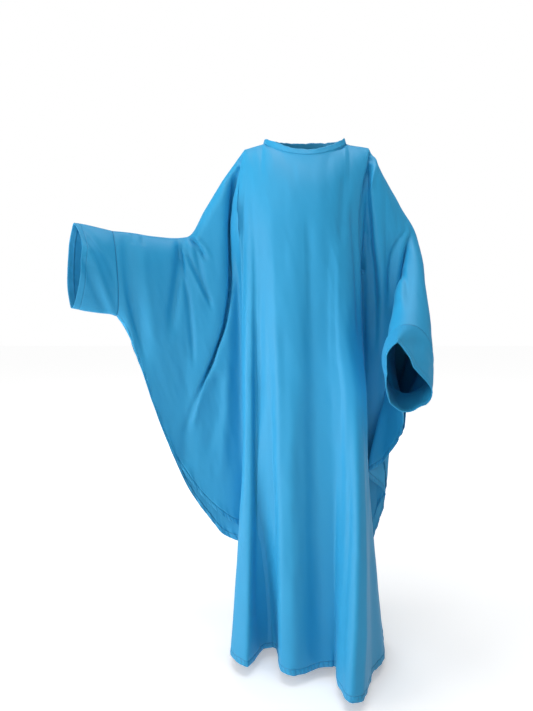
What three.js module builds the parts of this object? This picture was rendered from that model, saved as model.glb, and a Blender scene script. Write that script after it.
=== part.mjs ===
// Butterfly abaya as it hangs on a wearer: one arm held out to the side, the other bent forward.
// Millimetres, +Z up, +Y to the back. The origin is midway between the side neck points, where the
// shoulders carry the cloth. "right" and "left" are the wearer's own, so the right arm is at -X.
import * as THREE from 'three';

// Driving dimensions
const CLOTH_WALL = 1.2;
const CUFF_WALL = 2.0;
const BAND_WALL = 2.4;
const SEAM_GAP = 0.3;
const SHOULDER_GAP = 0.7;
const CUFF_GAP = 0.8;
const SIDE_TILT = 40;
const SIDE_TILT_FROM = -390;
const CHEST_Z = -250;
const HIP_Z = -820;
const HEM_Z = -1400;
const WING_END_Z = { front: -1086, back: -1130 };
const NECK = { centreX: 5, halfWidth: 113, frontReach: 88, backReach: 62, frontDrop: 54, backRise: 8, sideZ: -9 };
const BAND_HEIGHT = 15;
const BAND_LEAN = 0.32;
const SHOULDER = { right: { x: -161, z: -25 }, left: { x: 180, z: -20 } };
const TOP_STEPS = [0, 0.05, 0.12, 0.24, 0.42, 0.68, 1];
const UPPER_STEPS = 13;
const LOWER_STEPS = 3;
const WING_COLUMNS = 18;
const COLUMN_SPACING = 22;
const CUFF_RINGS = 4;

// Front body, right side seam to left side seam: plan position of each fold line at three heights
const FRONT_FOLDS = [
  // name            chest x, y      hip x, y       hem x, y
  ['right seam', -172, -28, -150, 15, -184, -12],
  ['right turn', -170, -48, -163, -12, -197, -42],
  ['right edge', -163, -66, -166, -45, -198, -78],
  ['first ridge', -150, -83, -156, -72, -175, -120],
  ['first ridge end', -141, -91, -143, -75, -150, -142],
  ['first slope', -130, -99, -130, -62, -122, -85],
  ['first valley', -118, -106, -118, -58, -97, -34],
  ['second slope', -104, -112, -100, -80, -78, -62],
  ['second edge', -92, -116, -84, -100, -73, -112],
  ['second ridge', -78, -120, -66, -124, -58, -154],
  ['second ridge end', -50, -125, -38, -132, -28, -176],
  ['middle', -15, -128, -5, -126, 12, -164],
  ['broad valley', 20, -128, 30, -118, 48, -144],
  ['broad valley end', 50, -124, 60, -118, 76, -140],
  ['third edge', 68, -120, 80, -130, 73, -200],
  ['third ridge', 84, -115, 92, -150, 80, -250],
  ['third ridge top', 102, -108, 110, -158, 102, -274],
  ['third ridge end', 122, -96, 134, -142, 134, -257],
  ['left edge', 142, -78, 158, -108, 154, -210],
  ['left slope', 155, -60, 166, -70, 172, -165],
  ['left turn', 164, -45, 178, -30, 214, -108],
  ['left seam', 170, -28, 168, 12, 232, -20],
];

// Back body, the same way round
const BACK_FOLDS = [
  ['right seam', -172, 28, -150, 15, -184, -12],
  ['right turn', -168, 52, -164, 45, -196, 26],
  ['right side', -156, 80, -158, 78, -194, 80],
  ['first ridge', -130, 98, -132, 98, -165, 125],
  ['first valley', -100, 108, -105, 88, -128, 88],
  ['second slope', -65, 114, -72, 110, -85, 138],
  ['second ridge', -30, 116, -32, 126, -38, 178],
  ['middle valley', 0, 116, 5, 110, 6, 134],
  ['third ridge', 35, 116, 42, 124, 46, 168],
  ['third slope', 68, 114, 74, 110, 92, 146],
  ['last valley', 100, 108, 106, 88, 130, 92],
  ['last ridge', 130, 98, 136, 102, 176, 138],
  ['left side', 152, 82, 172, 78, 216, 90],
  ['left turn', 168, 55, 188, 42, 238, 30],
  ['left seam', 170, 28, 168, 12, 232, -20],
];

// Side stitching from the underarm to the hem, and above it the edges of the underarm, which stand
// apart to the front and the back by the half gap
const SIDE_STITCH = {
  // z, x, y, half gap
  right: [
    [-250, -172, 0, 28],
    [-330, -166, 2, 14],
    [-410, -158, 5, 0],
    [-820, -150, 15, 0],
    [-1130, -168, 12, 0],
    [-1400, -184, -12, 0],
  ],
  left: [
    [-250, 170, 0, 28],
    [-330, 168, 2, 14],
    [-410, 166, 5, 0],
    [-820, 168, 12, 0],
    [-1130, 204, 14, 0],
    [-1400, 232, -20, 0],
  ],
};

// Wings, shoulder to cuff: the line over the arm, its turn in plan, how far the front and the back
// layer stand off it and how far below it that is, and the open lower edge of both layers
const WING_SECTIONS = {
  right: [
    // top x, y, z      turn  reaches  peak  front hem x, y, z    back hem x, y, z
    [-161, 0, -25, 0, 8, 8, 70, -172, 11.3, -1086, -172, 12.7, -1130],
    [-218, 0, -105, 0, 42, 40, 70, -213, 5, -1057, -219, 21, -1112],
    [-270, 0, -187, 2, 44, 40, 70, -266, 0, -1010, -266, 20, -1058],
    [-320, -3, -262, 12, 44, 38, 66, -321, -8, -936, -322, 12, -974],
    [-368, -22, -268, 24, 42, 36, 66, -366, -26, -850, -364, -2, -874],
    [-413, -46, -267, 27, 40, 36, 74, -414, -50, -706, -412, -28, -726],
    [-455, -67, -263, 27, 38, 36, 90, -450, -64, -585, -449, -50, -598],
    [-485, -83, -262, 28, 36, 36, 104, -477, -76, -513, -476, -68, -517],
    [-503, -92, -262, 28, 36, 36, 110, -495, -84, -482, -495, -84, -482],
  ],
  left: [
    [180, 0, -20, 0, 8, 8, 70, 202, 13.3, -1086, 204, 14.7, -1130],
    [220, 0, -94, 2, 42, 36, 70, 214, 14, -1046, 228, 28, -1066],
    [267, 2, -171, 7, 32, 34, 72, 214, 4, -985, 245, 40, -1006],
    [302, -10, -246, 60, 15, 32, 74, 208, -12, -925, 243, 10, -950],
    [294, -62, -330, 103, 26, 34, 80, 228, -48, -872, 232, -12, -872],
    [277, -112, -408, 109, 48, 46, 86, 256, -104, -786, 264, -84, -786],
    [257, -160, -468, 110, 56, 56, 86, 246, -156, -712, 252, -148, -712],
    [242, -200, -506, 110, 60, 61, 84, 242, -200, -674, 242, -200, -674],
  ],
};

// Creases pressed into the wings as they hang, along a line of x and z in the front view
const WING_CREASES = {
  right: [
    // x and z at top, middle, end      half width  depth
    { path: [[-166, -40], [-186, -167], [-208, -370], [-232, -530], [-282, -665], [-336, -890]], half: 15, depth: 34 },
    { path: [[-340, -262], [-352, -372], [-366, -480], [-372, -560]], half: 13, depth: 15 },
    { path: [[-312, -262], [-288, -330], [-272, -420]], half: 9, depth: 10 },
    { path: [[-482, -268], [-468, -400], [-440, -520], [-410, -640]], half: 13, depth: 13 },
    { path: [[-232, -640], [-262, -800], [-290, -930]], half: 20, depth: 12 },
  ],
  left: [
    { path: [[190, -50], [186, -130], [190, -260], [196, -420], [206, -640], [214, -860]], half: 14, depth: 26 },
  ],
};

// Open ends of the cuffs, round from the top by the front
const CUFF_RIMS = {
  // place, x, y, z
  right: [
    ['top', -586, -135, -249],
    ['upper front', -559, -165, -297],
    ['front', -553, -180, -348],
    ['lower front', -569, -165, -420],
    ['bottom', -591, -145, -464],
    ['lower back', -611, -120, -422],
    ['back', -614, -110, -365],
    ['upper back', -604, -118, -289],
  ],
  left: [
    ['top', 189, -325, -542],
    ['upper front', 167, -325, -569],
    ['front', 164, -320, -612],
    ['lower front', 173, -305, -676],
    ['bottom', 207, -295, -703],
    ['lower back', 260, -285, -695],
    ['back', 281, -280, -664],
    ['upper back', 224, -310, -600],
  ],
};

const radians = (degrees) => (degrees * Math.PI) / 180;
const mix = (a, b, t) => a + (b - a) * t;
const clamp01 = (t) => Math.min(1, Math.max(0, t));
const smooth = (from, to, x) => {
  const t = clamp01((x - from) / (to - from));
  return t * t * (3 - 2 * t);
};

// A cubic through (xs, ys) that never overshoots: its slope is zero wherever the data turns
function curveThrough(xs, ys) {
  const n = xs.length;
  const steps = xs.slice(1).map((x, i) => x - xs[i]);
  const rates = steps.map((h, i) => (ys[i + 1] - ys[i]) / h);
  const slopes = xs.map((_, i) => {
    if (i === 0) return rates[0];
    if (i === n - 1) return rates[n - 2];
    const [before, after] = [rates[i - 1], rates[i]];
    if (before * after <= 0) return 0;
    const [w1, w2] = [2 * steps[i] + steps[i - 1], steps[i] + 2 * steps[i - 1]];
    return (w1 + w2) / (w1 / before + w2 / after);
  });
  return (x) => {
    let i = 0;
    while (i < n - 2 && x > xs[i + 1]) i += 1;
    const h = steps[i];
    const t = clamp01((x - xs[i]) / h);
    const [t2, t3] = [t * t, t * t * t];
    return (2 * t3 - 3 * t2 + 1) * ys[i] + (t3 - 2 * t2 + t) * h * slopes[i]
      + (3 * t2 - 2 * t3) * ys[i + 1] + (t3 - t2) * h * slopes[i + 1];
  };
}

// Where the columns of a body panel run: each fold line, with more between those that lie far apart
function arcParameters(rows) {
  const stops = [0];
  for (let i = 1; i < rows.length; i += 1) {
    const [a, b] = [rows[i - 1], rows[i]];
    const chest = Math.hypot(b[1] - a[1], b[2] - a[2]);
    const hem = Math.hypot(b[5] - a[5], b[6] - a[6]);
    stops.push(stops[i - 1] + (chest + hem) / 2);
  }
  return stops;
}

function columnParameters(stops) {
  const columns = [];
  for (let i = 1; i < stops.length; i += 1) {
    const parts = Math.max(1, Math.round((stops[i] - stops[i - 1]) / COLUMN_SPACING));
    for (let k = 0; k < parts; k += 1) columns.push(mix(stops[i - 1], stops[i], k / parts));
  }
  columns.push(stops[stops.length - 1]);
  return columns;
}

// The neck seam over x: an ellipse in plan that drops at the front and rises at the back
function neckPoint(x, layer) {
  const across = Math.sqrt(Math.max(0, 1 - ((x - NECK.centreX) / NECK.halfWidth) ** 2));
  const front = layer === 'front';
  const y = front ? -NECK.frontReach * across : NECK.backReach * across;
  const lift = front ? -NECK.frontDrop * across ** 1.6 : NECK.backRise * across;
  return new THREE.Vector3(x, y, NECK.sideZ + lift);
}

// Top edge of a body panel: the neck seam, then the shoulder line out to the arm
function topPoint(x, layer) {
  const out = Math.abs(x - NECK.centreX) - NECK.halfWidth;
  if (out < 0) return neckPoint(x, layer);
  const shoulder = x < 0 ? SHOULDER.right : SHOULDER.left;
  const reach = Math.abs(shoulder.x - NECK.centreX) - NECK.halfWidth;
  return new THREE.Vector3(x, 0, mix(NECK.sideZ, shoulder.z, out / reach));
}

// Where a wing is sewn on with the sides, the walls are cut back at a slant, so that each pair of
// panels meets along its inner corner
const sideTilt = (z) => radians(SIDE_TILT) * smooth(WING_END_Z.back - 90, WING_END_Z.back, z);

// A body panel as a function of its column and height, with the side stitching at both edges
function bodyPanel(layer) {
  const rows = layer === 'front' ? FRONT_FOLDS : BACK_FOLDS;
  const stops = arcParameters(rows);
  const end = stops[stops.length - 1];
  const column = (k) => curveThrough(stops, rows.map((row) => row[k]));
  const [chestX, chestY, hipX, hipY, hemX, hemY] = [1, 2, 3, 4, 5, 6].map(column);
  const stitch = (table) => {
    const rising = [...table].reverse();
    return [1, 2, 3].map((k) => curveThrough(rising.map((row) => row[0]), rising.map((row) => row[k])));
  };
  const stitches = { right: stitch(SIDE_STITCH.right), left: stitch(SIDE_STITCH.left) };
  const standOff = (z) => SEAM_GAP / 2 + (CLOTH_WALL / 2) * Math.sin(sideTilt(z));
  const outward = layer === 'front' ? -1 : 1;
  const levels = [HEM_Z, HIP_Z, CHEST_Z];

  const section = (u, z) => {
    const x = curveThrough(levels, [hemX(u), hipX(u), chestX(u)])(z);
    const y = curveThrough(levels, [hemY(u), hipY(u), chestY(u)])(z);
    return [x, y];
  };
  const below = (u, z) => {
    let [x, y] = section(u, z);
    for (const [side, edge] of [['right', 0], ['left', end]]) {
      const pull = 1 - smooth(0, 45, Math.abs(u - edge));
      if (pull > 0) {
        const [edgeX, edgeY] = section(edge, z);
        const [stitchX, stitchY, halfGap] = stitches[side].map((curve) => curve(z));
        x += pull * (stitchX - edgeX);
        y += pull * (stitchY + outward * (halfGap + standOff(z)) - edgeY);
      }
    }
    return new THREE.Vector3(x, y, z);
  };
  const shoulderX = (u) => {
    const x = chestX(u);
    const edge = x < 0 ? [rows[0][1], SHOULDER.right.x] : [rows[rows.length - 1][1], SHOULDER.left.x];
    const out = smooth(60, Math.abs(edge[0]), Math.abs(x));
    return x + out * (edge[1] - edge[0]);
  };
  const above = (u, t) => {
    const start = topPoint(shoulderX(u), layer);
    const finish = below(u, CHEST_Z);
    const overShoulder = smooth(-18, 14, Math.abs(start.x - NECK.centreX) - NECK.halfWidth);
    const lean = new THREE.Vector3(0, outward * mix(14, 62, overShoulder), mix(-48, -6, overShoulder));
    const leave = start.clone().add(lean);
    const arrive = finish.clone().add(new THREE.Vector3(0, outward * 3, 105));
    return new THREE.CubicBezierCurve3(start, leave, arrive, finish).getPoint(t);
  };
  // One column runs down from each end of the neck seam
  const columns = columnParameters(stops);
  for (const neckEnd of [NECK.centreX - NECK.halfWidth, NECK.centreX + NECK.halfWidth]) {
    let [low, high] = [0, end];
    for (let i = 0; i < 40; i += 1) {
      const middle = (low + high) / 2;
      if (shoulderX(middle) < neckEnd) low = middle;
      else high = middle;
    }
    const nearest = columns.reduce((best, u, i) => (Math.abs(u - low) < Math.abs(columns[best] - low) ? i : best), 0);
    columns[nearest] = low;
  }
  return { above, below, columns, end, topX: shoulderX };
}

// How deep the creases press in at a point of the front view
function creaseDepth(creases, x, z) {
  let depth = 0;
  for (const { path, half, depth: deepest } of creases) {
    const rising = [...path].reverse();
    const line = curveThrough(rising.map((p) => p[1]), rising.map((p) => p[0]));
    const [low, high] = [rising[0][1], rising[rising.length - 1][1]];
    const fade = smooth(low, low + 0.35 * (high - low), z) * (1 - smooth(high - 12, high + 4, z));
    const across = (x - line(z)) / half;
    depth += deepest * fade * Math.exp(-across * across);
  }
  return depth;
}

// One layer of a wing as a function of its way out along the arm (0 to 1) and its way down (0 to 1)
function wingLayer(side, layer) {
  const rows = WING_SECTIONS[side];
  const stops = [0];
  for (let i = 1; i < rows.length; i += 1) {
    const step = Math.hypot(rows[i][0] - rows[i - 1][0], rows[i][1] - rows[i - 1][1], rows[i][2] - rows[i - 1][2]);
    stops.push(stops[i - 1] + step);
  }
  const along = stops.map((s) => s / stops[stops.length - 1]);
  const column = (k) => curveThrough(along, rows.map((row) => row[k]));
  const top = [0, 1, 2].map(column);
  const [turn, reach, peak] = [3, layer === 'front' ? 4 : 5, 6].map(column);
  const hem = (layer === 'front' ? [7, 8, 9] : [10, 11, 12]).map(column);
  const hand = side === 'right' ? 1 : -1;
  const outward = layer === 'front' ? 1 : -1;
  const creases = WING_CREASES[side];

  return (w, t) => {
    const start = top.map((f) => f(w));
    const finish = hem.map((f) => f(w));
    const length = start[2] - finish[2];
    const angle = radians(turn(w));
    const stand = [hand * Math.sin(angle) * outward, -Math.cos(angle) * outward];
    const crest = Math.min(0.5, peak(w) / length);
    const round = t < crest ? (crest - t) / crest : (t - crest) / (1 - crest);
    const closing = smooth(0.86, 1, w);
    const fall = t < crest ? Math.sqrt(Math.max(0, 1 - round * round))
      : mix(0.5 + 0.5 * Math.cos(Math.PI * round), Math.sqrt(Math.max(0, 1 - round * round)), closing);
    const hang = smooth(0, 1, t) * 0.6 + t * 0.4;
    const z = mix(start[2], finish[2], t);
    const x = mix(start[0], finish[0], hang);
    const pressed = creaseDepth(creases, x, z) * (1 - closing);
    const share = layer === 'front' ? 1 : -0.35;
    const off = (reach(w) - pressed * share) * fall;
    const seam = (SHOULDER_GAP / 2) * (1 - smooth(0, 0.02, t)) + CLOTH_WALL * closing * smooth(0.94, 1, t);
    return new THREE.Vector3(
      x + stand[0] * (off + seam),
      mix(start[1], finish[1], hang) + stand[1] * (off + seam),
      z,
    );
  };
}

// A panel with both wings: a grid of columns from cuff to cuff, with the body's columns running on down
function panelGrid(layer) {
  const body = bodyPanel(layer);
  const heights = [];
  for (let j = 1; j <= UPPER_STEPS; j += 1) heights.push(mix(CHEST_Z, WING_END_Z.front, j / UPPER_STEPS));
  if (layer === 'back') heights.push(WING_END_Z.back);
  const lowerHeights = layer === 'front' ? [WING_END_Z.back] : [];
  for (let j = 1; j <= LOWER_STEPS; j += 1) lowerHeights.push(mix(WING_END_Z.back, HEM_Z, j / LOWER_STEPS));
  const shoulderGap = (SHOULDER_GAP / 2) * (layer === 'front' ? -1 : 1);
  const bodyRows = (u) => {
    const points = TOP_STEPS.map((t) => body.above(u, t));
    points.push(...heights.map((z) => body.below(u, z)));
    points[0].y += shoulderGap;
    points[1].y += shoulderGap;
    return points;
  };
  const seams = { right: bodyRows(0), left: bodyRows(body.end) };
  const wingColumns = (side) => {
    const layerAt = wingLayer(side, layer);
    const seam = seams[side];
    const [first, last] = [seam[0].z, seam[seam.length - 1].z];
    const columns = [];
    for (let i = 1; i <= WING_COLUMNS; i += 1) {
      const w = i / WING_COLUMNS;
      const leaving = smooth(0, 0.16, w);
      columns.push(seam.map((p) => {
        const t = (p.z - first) / (last - first);
        const free = layerAt(w, t);
        const anchored = p.clone().sub(layerAt(0, t)).multiplyScalar(1 - leaving);
        return free.add(anchored);
      }));
    }
    return columns;
  };
  const lowerRows = (u) => lowerHeights.map((z) => body.below(u, z));
  const right = wingColumns('right').reverse();
  const left = wingColumns('left');
  const middle = body.columns.map(bodyRows);
  const lower = body.columns.map(lowerRows);
  return { columns: [...right, ...middle, ...left], firstBody: right.length, lower, body };
}

// Vertices and quads of a panel, with the upper grid and the lower body grid sharing their edge
function panelSheet(grid, flip) {
  const points = [];
  const quads = [];
  const ids = grid.columns.map((column) => column.map((p) => points.push(p) - 1));
  grid.lower.forEach((column, i) => column.forEach((p) => ids[grid.firstBody + i].push(points.push(p) - 1)));
  for (let i = 0; i + 1 < ids.length; i += 1) {
    const rows = Math.min(ids[i].length, ids[i + 1].length);
    for (let j = 0; j + 1 < rows; j += 1) {
      const quad = [ids[i][j], ids[i][j + 1], ids[i + 1][j + 1], ids[i + 1][j]];
      quads.push(flip ? quad.reverse() : quad);
    }
  }
  return { points, quads, ids };
}

// A ring grid, closed round, from one ring of points to the next
function ringSheet(rings) {
  const points = [];
  const quads = [];
  const ids = rings.map((ring) => ring.map((p) => points.push(p) - 1));
  for (let i = 0; i + 1 < ids.length; i += 1) {
    for (let j = 0; j < ids[i].length; j += 1) {
      const k = (j + 1) % ids[i].length;
      quads.push([ids[i][j], ids[i + 1][j], ids[i + 1][k], ids[i][k]]);
    }
  }
  return { points, quads };
}

// Closes a sheet into a wall: its points moved half the thickness to each side, further at a sharp
// fold so that the wall keeps its thickness there, and its open edges bridged
function wallGeometry({ points, quads }, thickness, edgeDirections = new Map(), fixedNormals = new Map()) {
  const around = points.map(() => []);
  for (const quad of quads) {
    const [a, b, c, d] = quad.map((id) => points[id]);
    const normal = c.clone().sub(a).cross(d.clone().sub(b)).normalize();
    for (const id of quad) around[id].push(normal);
  }
  const normals = around.map((faces, id) => {
    const normal = fixedNormals.get(id)?.clone() ?? faces.reduce((sum, n) => sum.add(n), new THREE.Vector3());
    const along = edgeDirections.get(id);
    if (along) normal.addScaledVector(along, -normal.dot(along));
    normal.normalize();
    const spread = faces.reduce((sum, n) => sum + Math.abs(n.dot(normal)), 0) / faces.length;
    return fixedNormals.has(id) ? normal : normal.divideScalar(Math.max(0.5, spread));
  });
  const count = points.length;
  const moved = (sign) => points.map((p, i) => p.clone().addScaledVector(normals[i], (sign * thickness) / 2));
  const positions = [...moved(1), ...moved(-1)].flatMap((p) => [p.x, p.y, p.z]);
  const index = [];
  const edges = new Map();
  const face = (a, b, c, d) => index.push(a, b, c, a, c, d);
  for (const [a, b, c, d] of quads) {
    face(a, b, c, d);
    face(a + count, d + count, c + count, b + count);
    for (const [p, q] of [[a, b], [b, c], [c, d], [d, a]]) {
      if (!edges.delete(`${q},${p}`)) edges.set(`${p},${q}`, [p, q]);
    }
  }
  for (const [p, q] of edges.values()) face(q, p, p + count, q + count);
  const geometry = new THREE.BufferGeometry();
  geometry.setAttribute('position', new THREE.Float32BufferAttribute(positions, 3));
  geometry.setIndex(index);
  return geometry;
}

// Along the shoulder line and the side stitching the wall stands square to the seam, so that the gap
// between the front and the back is even
function seamNormals(grid, sheet, layer) {
  const fixed = new Map();
  grid.columns.forEach((column, i) => {
    const p = column[0];
    if (Math.abs(p.x - NECK.centreX) < NECK.halfWidth - 0.5) return;
    const next = grid.columns[Math.min(i + 1, grid.columns.length - 1)][0];
    const previous = grid.columns[Math.max(i - 1, 0)][0];
    const tangent = next.clone().sub(previous).normalize();
    const up = new THREE.Vector3(0, 0, 1);
    fixed.set(sheet.ids[i][0], up.addScaledVector(tangent, -up.dot(tangent)).normalize());
  });
  const outward = layer === 'front' ? -1 : 1;
  for (const [i, side] of [[grid.firstBody, -1], [grid.firstBody + grid.lower.length - 1, 1]]) {
    for (const id of sheet.ids[i]) {
      const { z } = sheet.points[id];
      const tilt = sideTilt(z);
      if (z < SIDE_TILT_FROM) fixed.set(id, new THREE.Vector3(side * Math.cos(tilt), outward * Math.sin(tilt), 0));
    }
  }
  return fixed;
}

// The way the sleeve runs at its cuff
function sleeveDirection(side) {
  const rows = WING_SECTIONS[side];
  const [before, last] = rows.slice(-2).map((row) => new THREE.Vector3(row[0], row[1], row[2]));
  return last.sub(before).normalize();
}

function panelGeometry(layer) {
  const grid = panelGrid(layer);
  const sheet = panelSheet(grid, layer === 'back');
  const cuffEdges = new Map();
  for (const id of sheet.ids[0]) cuffEdges.set(id, sleeveDirection('right'));
  for (const id of sheet.ids[sheet.ids.length - 1]) cuffEdges.set(id, sleeveDirection('left'));
  return wallGeometry(sheet, CLOTH_WALL, cuffEdges, seamNormals(grid, sheet, layer));
}

// Neck band: a low stand that leans in over the neck seam, on the same columns as the panels
function bandGeometry() {
  const ends = [NECK.centreX - NECK.halfWidth, NECK.centreX + NECK.halfWidth];
  const seamXs = (layer) => {
    const body = bodyPanel(layer);
    return body.columns.map((u) => body.topX(u)).filter((x) => x > ends[0] + 1 && x < ends[1] - 1);
  };
  const front = seamXs('front').map((x) => neckPoint(x, 'front'));
  const back = seamXs('back').map((x) => neckPoint(x, 'back')).reverse();
  const side = (x) => new THREE.Vector3(x, 0, NECK.sideZ);
  const base = [side(ends[0]), ...front, side(ends[1]), ...back];
  const lift = (p, up) => {
    const inward = new THREE.Vector3(NECK.centreX - p.x, -p.y, 0).normalize();
    return p.clone().addScaledVector(inward, up * BAND_LEAN).add(new THREE.Vector3(0, 0, up));
  };
  const start = SEAM_GAP + CLOTH_WALL;
  const rings = [start, mix(start, BAND_HEIGHT, 0.5), BAND_HEIGHT].map((up) => base.map((p) => lift(p, up)));
  return wallGeometry(ringSheet(rings.reverse()), BAND_WALL);
}

// A cuff goes on from the end of its sleeve and runs out to the open end given by its table
function cuffGeometry(side) {
  const ends = ['front', 'back'].map((layer) => {
    const { columns } = panelGrid(layer);
    return side === 'right' ? columns[0] : columns[columns.length - 1];
  });
  const [front, back] = ends;
  const [top, bottom] = [0, -1].map((i) => front.at(i).clone().lerp(back.at(i), 0.5));
  const seam = [top, ...front.slice(1, -1), bottom, ...back.slice(1, -1).reverse()];
  const rim = new THREE.CatmullRomCurve3(CUFF_RIMS[side].map((row) => new THREE.Vector3(...row.slice(1))), true);
  const opposite = seam.map((p, i) => {
    const down = clamp01((top.z - p.z) / (top.z - bottom.z));
    const turn = Math.acos(1 - 2 * down) / (2 * Math.PI);
    return rim.getPoint(i < front.length ? turn : 1 - turn);
  });
  const start = sleeveDirection(side).multiplyScalar(CUFF_GAP);
  const rings = [];
  for (let i = 0; i <= CUFF_RINGS; i += 1) {
    rings.push(seam.map((p, k) => p.clone().add(start).lerp(opposite[k], i / CUFF_RINGS)));
  }
  const sheet = ringSheet(side === 'right' ? rings : rings.reverse());
  const seamEdge = new Map();
  const first = side === 'right' ? 0 : CUFF_RINGS * seam.length;
  for (let i = 0; i < seam.length; i += 1) seamEdge.set(first + i, sleeveDirection(side));
  return wallGeometry(sheet, CUFF_WALL, seamEdge);
}

const crepe = () => new THREE.MeshStandardMaterial({ color: 0x3f9ad3, roughness: 0.75, metalness: 0 });

function piece(name, geometry) {
  const mesh = new THREE.Mesh(geometry, crepe());
  mesh.name = name;
  return mesh;
}

const abaya = new THREE.Group();
abaya.add(piece('front_panel', panelGeometry('front')));
abaya.add(piece('back_panel', panelGeometry('back')));
abaya.add(piece('neck_band', bandGeometry()));
abaya.add(piece('right_cuff', cuffGeometry('right')));
abaya.add(piece('left_cuff', cuffGeometry('left')));

export default abaya;
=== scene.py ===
"""A butterfly abaya in azure crepe, as it hangs with one sleeve spread and the other bent forward.

The cloth follows the same tables as its solids, on a much finer grid, and gets its small folds, hems,
stitching and neck band here. Lengths in the tables are millimetres; meshes are in metres.
"""
import math

import bpy
import numpy as np
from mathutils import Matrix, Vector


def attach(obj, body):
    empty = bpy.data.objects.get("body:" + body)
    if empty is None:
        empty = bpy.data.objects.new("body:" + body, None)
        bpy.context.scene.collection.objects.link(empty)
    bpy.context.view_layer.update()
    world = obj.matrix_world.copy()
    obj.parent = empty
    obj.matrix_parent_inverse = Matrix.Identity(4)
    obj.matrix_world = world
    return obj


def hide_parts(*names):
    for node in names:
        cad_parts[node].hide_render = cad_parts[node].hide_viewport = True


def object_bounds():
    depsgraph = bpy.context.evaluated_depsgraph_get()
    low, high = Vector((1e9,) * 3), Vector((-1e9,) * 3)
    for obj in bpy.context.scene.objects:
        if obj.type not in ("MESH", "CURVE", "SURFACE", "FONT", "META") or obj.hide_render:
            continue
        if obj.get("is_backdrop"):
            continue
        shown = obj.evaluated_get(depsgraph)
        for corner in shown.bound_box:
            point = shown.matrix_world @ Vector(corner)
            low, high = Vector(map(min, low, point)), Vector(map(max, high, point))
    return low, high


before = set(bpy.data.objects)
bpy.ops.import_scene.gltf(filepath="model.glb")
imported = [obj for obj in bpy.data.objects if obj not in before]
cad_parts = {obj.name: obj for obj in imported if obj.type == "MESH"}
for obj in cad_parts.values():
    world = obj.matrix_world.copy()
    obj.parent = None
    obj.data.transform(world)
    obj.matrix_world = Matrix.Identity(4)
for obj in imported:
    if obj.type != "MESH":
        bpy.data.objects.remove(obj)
cad_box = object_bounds()

# Thickness of the visible cloth, and of the panels' solids
CLOTH, CUFF_CLOTH, BAND_CLOTH = 0.9, 1.5, 2.2
CLOTH_WALL = 1.2
# Turned hems: their width, how much thicker they are inside, and the close rows of the grids in them
HEM_WIDTH = 15.0
HEM_EXTRA = 1.0
HEM_ROWS = np.array([19.0, 17.0, 16.0, 15.2, 14.6, 14.0, 12.6, 9.5, 6.0, 3.0, 1.1, 0.0])
HEM_SPAN = 21.0
# How far the sewn edges of front and back run past each other, so that no light shows through a seam
SIDE_OVERLAP, SHOULDER_OVERLAP = 0.4, 0.2
# Below the wings the panels' edges turn out of the front plane
SIDE_TILT = math.radians(40)
SIDE_TILT_FROM = -390
# Width of a grid column, the rows above the chest as shares of the way down, and the rows' heights
# below it in columns
COLUMN = 5.65
TOP_ROWS = np.concatenate([[0, 0.006, 0.015, 0.03, 0.05], np.linspace(0.075, 1, 32)])
UPPER_ROW, LOWER_ROW, GATHER = 1.62, 2.0, 1.25
# A distance past the reach of every seam and hem
FAR = 400.0
CHEST_Z, HIP_Z, HEM_Z = -250, -820, -1400
WING_END_Z = {"front": -1086, "back": -1130}
NECK_X, NECK_HALF, NECK_FRONT, NECK_BACK = 5, 113, 88, 62
NECK_DROP, NECK_RISE, NECK_Z = 54, 8, -9
BAND_HEIGHT, BAND_LEAN = 15, 0.32
BAND_PROFILE = [
    # height, share of half the wall
    (-1.6, 0.95), (-0.4, 1.0), (1.0, 1.12), (2.2, 1.1), (5.0, 0.95), (9.0, 0.92), (12.0, 0.98),
    (13.6, 0.9), (14.5, 0.6), (15.0, 0.0),
]
SHOULDER = {"right": (-161, -25), "left": (180, -20)}

# Body, right side seam to left side seam: plan position of each fold line at chest, hip and hem
FRONT_FOLDS = [
    # name, chest x, y, hip x, y, hem x, y
    ("right seam", -172, -28, -150, 15, -184, -12),
    ("right turn", -170, -48, -163, -12, -197, -42),
    ("right edge", -163, -66, -166, -45, -198, -78),
    ("first ridge", -150, -83, -156, -72, -175, -120),
    ("first ridge end", -141, -91, -143, -75, -150, -142),
    ("first slope", -130, -99, -130, -62, -122, -85),
    ("first valley", -118, -106, -118, -58, -97, -34),
    ("second slope", -104, -112, -100, -80, -78, -62),
    ("second edge", -92, -116, -84, -100, -73, -112),
    ("second ridge", -78, -120, -66, -124, -58, -154),
    ("second ridge end", -50, -125, -38, -132, -28, -176),
    ("middle", -15, -128, -5, -126, 12, -164),
    ("broad valley", 20, -128, 30, -118, 48, -144),
    ("broad valley end", 50, -124, 60, -118, 76, -140),
    ("third edge", 68, -120, 80, -130, 73, -200),
    ("third ridge", 84, -115, 92, -150, 80, -250),
    ("third ridge top", 102, -108, 110, -158, 102, -274),
    ("third ridge end", 122, -96, 134, -142, 134, -257),
    ("left edge", 142, -78, 158, -108, 154, -210),
    ("left slope", 155, -60, 166, -70, 172, -165),
    ("left turn", 164, -45, 178, -30, 214, -108),
    ("left seam", 170, -28, 168, 12, 232, -20),
]
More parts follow.
